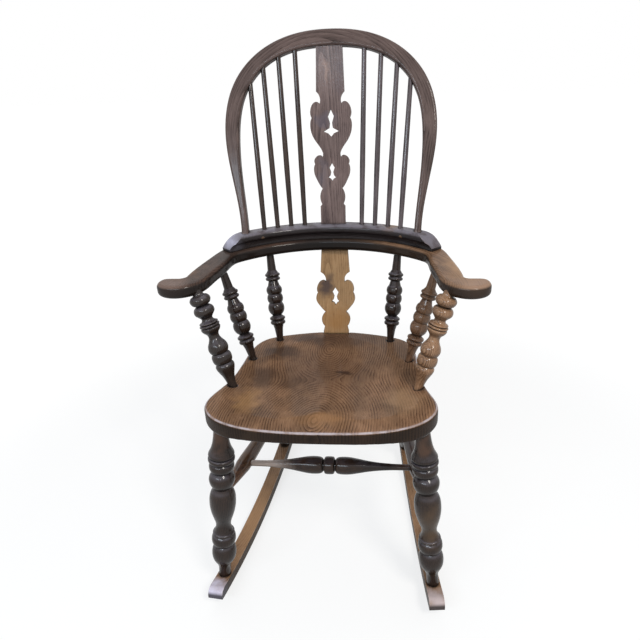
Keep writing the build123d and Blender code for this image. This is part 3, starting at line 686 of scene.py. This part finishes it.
def make_wood(name, slot, grain_of, rings_of=rings_of_log):
    """One piece's own wood, with the grain along the piece."""
    look = {**LOOK, **LOOKS[slot], **NODE_LOOKS.get(name, {})}
    material, graph = new_material(name + "_wood")
    place = graph.node("ShaderNodeTexCoord").outputs["Object"]
    grain = grain_of(graph, place)
    if slot != "seat_wood":
        log_place = sum(ord(letter) for letter in name) % LOG_PLACES
        grain = graph.vector("ADD", grain, (0.0, 0.0, log_place * LOG_STEP))
    rings, wandering = rings_of(graph, grain, look)
    light, pores = wood_figure(graph, wandering, rings, look)

    colour = pigment(graph, grain, light, look)
    colour = spotted(graph, place, colour, NODE_SPOTS.get(name, ()))
    # wear, with the painted highlight, sheen and shade
    colour = worn_and_painted_light(graph, place, colour, look)
    dirt = cavity(graph, look["groove"])
    colour = graph.blend(graph.product(dirt, GRIME_SHARE), colour, seen(*look["grime"]))

    shader = principled(
        graph,
        Coat_Weight=look["coat"],
        Coat_Roughness=look["coat_rough"],
        Specular_IOR_Level=WOOD_SPECULAR,
    )
    graph.feed(shader.inputs["Base Color"], colour)
    graph.feed(shader.inputs["Roughness"], wood_roughness(graph, place, pores, dirt, look))
    add_bump(graph, shader, wood_height(graph, place, light, pores), BUMP_STRENGTH, BUMP_DEPTH)
    return material


def make_steel(name):
    material, graph = new_material(name + "_steel")
    place = graph.node("ShaderNodeTexCoord").outputs["Object"]
    shader = principled(graph, Metallic=1.0)
    blots = graph.noise(place, STEEL["blot"], detail=3.0)
    colour = graph.ramp(blots, *zip(STEEL["blot_band"], (seen(*STEEL["dark"]), seen(*STEEL["bright"]))))
    colour = graph.blend(cavity(graph, STEEL["groove"]), colour, seen(*STEEL["grime"]))
    graph.feed(shader.inputs["Base Color"], colour)
    rough = graph.math("MULTIPLY_ADD", blots, STEEL["blot_rough"], STEEL["rough"])
    graph.feed(shader.inputs["Roughness"], rough)
    scratches = graph.noise(place, STEEL["scratch"])
    add_bump(graph, shader, scratches, STEEL["scratch_strength"], STEEL["scratch_depth"])
    return material


def finish_nodes():
    """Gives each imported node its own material, in place of its slot's."""
    for name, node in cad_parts.items():
        slot = node.data.materials[0].name
        if slot == "screw_steel":
            node.data.materials[0] = make_steel(name)
        else:
            node.data.materials[0] = make_wood(name, slot, grain_of_node(name, node))


def stand_for(piece, name, material):
    """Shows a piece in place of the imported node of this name."""
    piece.data.materials.append(material)
    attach(piece, "root")
    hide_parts(name)


# ---------------------------------------------------------------- turnings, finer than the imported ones
# An outline is a list of runs of (mm along the piece, mm radius). A run is smooth, and runs meet in a
# crease. The line that a piece is turned about is given for the right side, as its foot and its head.

SIDES = {"left": -1, "right": 1}
TURNING_FACES = 72
TURNING_START = Vector((0, 1, 0.3))        # along no turning; each ring of vertices starts square to it
RUN_STEPS = 6
LEG_FOOT = (0.2276, -0.287, 0.0412)
LEG_HEAD = (0.1968, -0.262, 0.4245)
LEG_SHIFT = {"left": -2.5, "right": 2.5}   # mm; the two legs' turnings don't quite line up
LEG_RUNS = (
    ((-13, 11.8), (0, 12.6), (22, 12.6), (31, 14), (40, 17.6), (48, 21.8), (56, 24.6), (66, 25.8), (76, 25),
     (84, 22.4), (89, 19)),
    ((89, 19), (92, 22.4), (99, 25), (107, 25.2), (113, 23.8), (117, 20.8)),
    ((117, 20.8), (119, 22.4), (122, 22.4), (124, 20)),
    ((124, 20), (128, 18.4), (135, 16.2), (142, 15.6), (151, 17), (162, 20.4), (175, 24), (190, 26.6),
     (203, 27.2), (215, 26.4), (225, 23.8), (232, 20.2), (236, 18.4)),
    ((236, 18.4), (240, 21), (247, 24.6), (255, 26.4), (262, 26), (269, 23), (275, 17.8)),
    ((275, 17.8), (278, 21.6), (283, 24.6), (289, 25.4), (294, 24.2), (298, 21)),
    ((298, 21), (300, 24.6), (304, 26.8), (309, 26.4), (312, 22)),
    ((312, 22), (314, 25.4), (318, 26), (324, 23.4), (331, 20.4), (341, 17.6), (353, 15.7), (366, 14.5),
     (384, 13.6), (400, 13.4)),
)
POST_FOOT = (0.192, -0.178, 0.46274)
POST_HEAD = (0.243, -0.16, 0.6536)
POST_RUNS = (
    ((-18, 8.4), (0, 8.8), (10, 10), (20, 12.2), (30, 16), (38, 18.8), (44, 19.2), (49, 16.4)),
    ((49, 16.4), (53, 19.2), (60, 20.4), (67, 19.6), (72, 16)),
    ((72, 16), (76, 18.8), (83, 20.4), (91, 18.6), (98, 14.6), (105, 11.4), (111, 11), (116, 13),
     (121, 17.4), (127, 19.8), (130, 17.6)),
    ((130, 17.6), (132, 20), (134.5, 20), (136, 17)),
    ((136, 17), (138, 18.8), (140, 18.2), (143, 13), (148, 11.2), (153, 14.6), (159, 19.6), (165, 20.6),
     (171, 18.4), (176, 12)),
    ((176, 12), (179, 17.6), (185, 20.6), (190, 20.4), (195, 16.6), (198, 11), (210, 8.6)),
)
CROSS_RUNS = (                             # from the middle of the cross stretcher outwards
    ((0, 19.6), (6, 19.4), (10, 18), (12, 13)),
    ((12, 13), (14, 13)),
    ((14, 13), (16, 16.2), (22, 18.6), (34, 19.4), (48, 18.6), (66, 15.6), (86, 12), (108, 9.2), (130, 7.6),
     (150, 6.8)),
)


def curve_value(before, start, stop, after, t):
    """The value between start and stop of a Catmull-Rom curve, at t from 0 to 1."""
    square = 2 * before - 5 * start + 4 * stop - after
    cube = 3 * start - before - 3 * stop + after
    return 0.5 * (2 * start + (stop - before) * t + square * t**2 + cube * t**3)


def smooth_run(points):
    """A curve through a run's points."""
    ends = [points[0], *points, points[-1]]
    made = []
    for corners in zip(ends, ends[1:], ends[2:], ends[3:]):
        for step in range(RUN_STEPS):
            made.append(tuple(curve_value(*values, step / RUN_STEPS) for values in zip(*corners)))
    return made + [points[-1]]


def crease(ring):
    """Makes the edges along a ring sharp."""
    for edge in {edge for vertex in ring for edge in vertex.link_edges}:
        edge.smooth = not all(vertex in ring for vertex in edge.verts)


def join_rings(shape, lower, upper):
    for here in range(TURNING_FACES):
        after = (here + 1) % TURNING_FACES
        shape.faces.new((lower[here], lower[after], upper[after], upper[here])).smooth = True


def turning_mesh(name, foot, along, runs):
    """The closed surface of a turning that starts at its foot."""
    across = along.cross(TURNING_START).normalized()
    third = along.cross(across)
    turns = [2 * pi * face / TURNING_FACES for face in range(TURNING_FACES)]
    directions = [across * cos(turn) + third * sin(turn) for turn in turns]
    shape = bmesh.new()
    previous = None
    for run in runs:
        for number, (height, radius) in enumerate(smooth_run(run)):
            if previous and number == 0:
                crease(previous)
                continue
            places = [foot + (along * height + out * radius) / MM for out in directions]
            ring = [shape.verts.new(place) for place in places]
            if previous:
                join_rings(shape, previous, ring)
            else:
                shape.faces.new(ring[::-1])
            previous = ring
    shape.faces.new(previous)
    bmesh.ops.recalc_face_normals(shape, faces=shape.faces)
    mesh = bpy.data.meshes.new(name)
    shape.to_mesh(mesh)
    shape.free()
    return mesh


def turned_piece(name, slot, foot, head, runs):
    """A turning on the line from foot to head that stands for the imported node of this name."""
    foot, head = Vector(foot), Vector(head)
    along = (head - foot).normalized()
    piece = new_object(name + "_turning", turning_mesh(name + "_turning", foot, along, runs))
    grain_of = partial(straight_grain, origin=foot, along=along)
    stand_for(piece, name, make_wood(name, slot, grain_of))


def on_side(side, point):
    x, y, z = point
    return SIDES[side] * x, y, z


def shifted(runs, shift):
    return [[(height + shift, radius) for height, radius in run] for run in runs]


def mirrored(runs, middle):
    """Runs given from the middle outwards, as runs from one end to the other."""
    first = [[(middle - height, radius) for height, radius in reversed(run)] for run in reversed(runs)]
    second = [[(middle + height, radius) for height, radius in run] for run in runs]
    first[-1] = first[-1][:-1] + second[0]
    return first + second[1:]


def stretched(runs, length):
    """Carries the slim ends on to both ends of the piece."""
    first = [(0.0, runs[0][0][1])] + runs[0]
    last = runs[-1] + [(length, runs[-1][-1][1])]
    return [first, *runs[1:-1], last]


def make_turnings():
    for side in SIDES:
        leg_line = (on_side(side, LEG_FOOT), on_side(side, LEG_HEAD))
        turned_piece(side + "_front_leg", "turned_wood", *leg_line, shifted(LEG_RUNS, LEG_SHIFT[side]))
        post_line = (on_side(side, POST_FOOT), on_side(side, POST_HEAD))
        turned_piece(side + "_arm_post", "turned_wood", *post_line, POST_RUNS)
    low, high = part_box("cross_stretcher")
    length = (high.x - low.x) * MM
    level = (low + high) / 2
    ends = [(x, level.y, level.z) for x in (low.x, high.x)]
    runs = stretched(mirrored(CROSS_RUNS, length / 2), length)
    turned_piece("cross_stretcher", "stretcher_wood", *ends, runs)


# ---------------------------------------------------------------- seat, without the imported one's creases

SEAT_VOXEL = 0.002
SEAT_RIM_HEIGHT = 0.459                    # at Y = 0
SEAT_FALL = 0.021                          # the rim's slope down to the back
SEAT_EDGE_SWEEPS = 3                       # light smoothing of the whole board
SEAT_EDGE_WEIGHT = 0.5
SEAT_HOLLOW_SWEEPS = 220                   # how long the hollow's creases are worked out
HOLLOW_START = 0.6                         # mm below the rim
HOLLOW_FULL = 2.0                          # mm further down, where the smoothing is at its full weight
HOLLOW_FLOOR = 16.0                        # mm below the rim, deeper than the hollow
HOLLOW_FACING = 0.8                        # its faces look up at least this much


def remeshed(source, voxel):
    """A node's mesh with small even faces."""
    rough = new_object("rough_seat", source.data.copy())
    remesh = rough.modifiers.new("remesh", "REMESH")
    remesh.mode = "VOXEL"
    remesh.voxel_size = voxel
    bpy.context.view_layer.update()
    mesh = bpy.data.meshes.new_from_object(rough.evaluated_get(bpy.context.evaluated_depsgraph_get()))
    bpy.data.objects.remove(rough)
    return mesh


def smooth_mesh(mesh, weights, sweeps):
    """Moves each vertex towards its neighbours' mean, by its weight, as often as sweeps says."""
    places = read_rows(mesh.vertices, "co", 3)
    edges = read_rows(mesh.edges, "vertices", 2, int)
    first, second = edges.T
    count = len(places)
    degree = np.bincount(edges.ravel(), minlength=count)[:, None]
    for _ in range(sweeps):
        total = np.empty_like(places)
        for axis in range(3):
            onward = np.bincount(first, places[second, axis], count)
            total[:, axis] = onward + np.bincount(second, places[first, axis], count)
        places += weights[:, None] * (total / degree - places)
    mesh.vertices.foreach_set("co", places.ravel())
    mesh.update()


def hollow_weights(mesh):
    """1 in the seat's hollow, 0 on its rim, its sides and its underside."""
    places = read_rows(mesh.vertices, "co", 3)
    normals = read_rows(mesh.vertex_normals, "vector", 3)
    fall = (places[:, 2] - SEAT_RIM_HEIGHT + SEAT_FALL * places[:, 1]) * -MM
    inside = (normals[:, 2] > HOLLOW_FACING) & (fall > HOLLOW_START) & (fall < HOLLOW_FLOOR)
    return np.where(inside, np.clip((fall - HOLLOW_START) / HOLLOW_FULL, 0, 1), 0.0)


def make_seat():
    """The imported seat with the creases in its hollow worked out, as a carver scrapes them."""
    mesh = remeshed(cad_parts["seat"], SEAT_VOXEL)
    smooth_mesh(mesh, np.full(len(mesh.vertices), SEAT_EDGE_WEIGHT), SEAT_EDGE_SWEEPS)
    smooth_mesh(mesh, hollow_weights(mesh), SEAT_HOLLOW_SWEEPS)
    mesh.shade_smooth()
    mesh.materials.clear()
    piece = new_object("seat_board", mesh)
    grain_of = partial(straight_grain, origin=(0, 0, SEAT_RIM_HEIGHT), along=ALONG_Y, through=UP)
    stand_for(piece, "seat", make_wood("seat", "seat_wood", grain_of, rings_of_seat))


# ---------------------------------------------------------------- camera

CAMERA_PLACE = (0.13981, -1.12684, 1.03654)
CAMERA_YAW = 0.09607                       # radians, to the left of +Y
CAMERA_DOWN = 0.42256                      # radians
CAMERA_ROLL = 0.0337                       # radians
FRAME_SIZE = 640                           # pixels, both ways
CAMERA_FOCAL = 542.98                      # pixels
CENTRE_X = 345.44                          # pixels, of the point that the camera looks at
CENTRE_Y = 320.37
SENSOR_WIDTH = 36.0                        # mm


def make_camera():
    data = bpy.data.cameras.new("camera")
    data.sensor_width = SENSOR_WIDTH
    data.lens = CAMERA_FOCAL / FRAME_SIZE * data.sensor_width
    data.shift_x = (FRAME_SIZE / 2 - CENTRE_X) / FRAME_SIZE
    data.shift_y = (CENTRE_Y - FRAME_SIZE / 2) / FRAME_SIZE
    camera = new_object("camera", data)
    yaw, down, roll = CAMERA_YAW, CAMERA_DOWN, CAMERA_ROLL
    forward = Vector((-sin(yaw) * cos(down), cos(yaw) * cos(down), -sin(down)))
    right = Vector((cos(yaw), sin(yaw), 0))
    below = forward.cross(right)
    right, below = cos(roll) * right + sin(roll) * below, cos(roll) * below - sin(roll) * right
    turn = Matrix((right, -below, -forward)).transposed().to_4x4()
    camera.matrix_world = Matrix.Translation(CAMERA_PLACE) @ turn
    bpy.context.scene.camera = camera


# ---------------------------------------------------------------- floor and light

FLOOR_HALF = 30.0
FLOOR_GREY = 0.35                          # what the floor reflects on to the chair
FLOOR_GLOW = 1.05                          # the white that the camera sees
SHADOW_GREY = 0.9                          # the lit part of that white, which shows the shadow
SHADOW_SHARE = 0.3
SHADOW_NEAR = 0.8                          # from the middle; beyond SHADOW_FAR the floor is plain white
SHADOW_FAR = 1.6
SKY_COLOUR = (0.94, 0.97, 1.0, 1.0)
SKY_STRENGTH = 0.5
LIGHTS = {                                 # place, aim, width and height, watts, colour
    "key": ((1.3, -1.9, 2.6), (0, 0, 0.6), (0.7, 0.7), 46, (1.0, 0.95, 0.88)),
    "fill": ((-1.0, -2.7, 2.1), (0, 0, 0.5), (2.4, 0.4), 42, (0.78, 0.89, 1.0)),
    "back": ((-0.6, 1.6, 3.2), (0, 0, 0.8), (2.0, 1.6), 14, (0.95, 0.97, 1.0)),
}


def backdrop_rays(graph):
    """1 for rays that look at the backdrop: from the camera, off a gloss or through glass."""
    path = graph.node("ShaderNodeLightPath").outputs
    bounced = graph.math("MAXIMUM", path["Is Glossy Ray"], path["Is Transmission Ray"])
    return graph.math("MAXIMUM", path["Is Camera Ray"], bounced)


def floor_material():
    material, graph = new_material("floor")
    place = graph.node("ShaderNodeTexCoord").outputs["Object"]
    paper = graph.node("ShaderNodeBsdfDiffuse", grey(FLOOR_GREY))
    shadowed = graph.node("ShaderNodeBsdfDiffuse", grey(SHADOW_GREY))
    glow = graph.node("ShaderNodeEmission", grey(1.0), FLOOR_GLOW)
    near = graph.band(graph.vector("LENGTH", place), SHADOW_FAR, SHADOW_NEAR)
    backdrop = graph.mix_shaders(graph.product(near, SHADOW_SHARE), glow, shadowed)
    graph.surface(graph.mix_shaders(backdrop_rays(graph), paper, backdrop))
    return material


def make_floor():
    mesh = bpy.data.meshes.new("floor")
    half = FLOOR_HALF
    corners = [(-half, -half, 0), (half, -half, 0), (half, half, 0), (-half, half, 0)]
    mesh.from_pydata(corners, [], [(0, 1, 2, 3)])
    mesh.materials.append(floor_material())
    new_object("floor", mesh)


def make_world():
    world = bpy.data.worlds.new("studio")
    bpy.context.scene.world = world
    world.use_nodes = True
    graph = Graph(world.node_tree)
    soft = graph.node("ShaderNodeBackground", SKY_COLOUR, SKY_STRENGTH)
    white = graph.node("ShaderNodeBackground", grey(1.0))
    graph.surface(graph.mix_shaders(backdrop_rays(graph), soft, white), "ShaderNodeOutputWorld")


def make_lights():
    for name, (place, aim, size, watts, colour) in LIGHTS.items():
        data = bpy.data.lights.new(name, "AREA")
        data.shape = "RECTANGLE"
        data.size, data.size_y = size
        data.energy = watts
        data.color = colour
        light = new_object(name, data)
        light.location = place
        light.rotation_euler = (Vector(aim) - Vector(place)).to_track_quat("-Z", "Y").to_euler()


finish_nodes()
make_turnings()
make_seat()
make_camera()
make_floor()
make_world()
make_lights()
bpy.context.scene.view_settings.view_transform = "Standard"
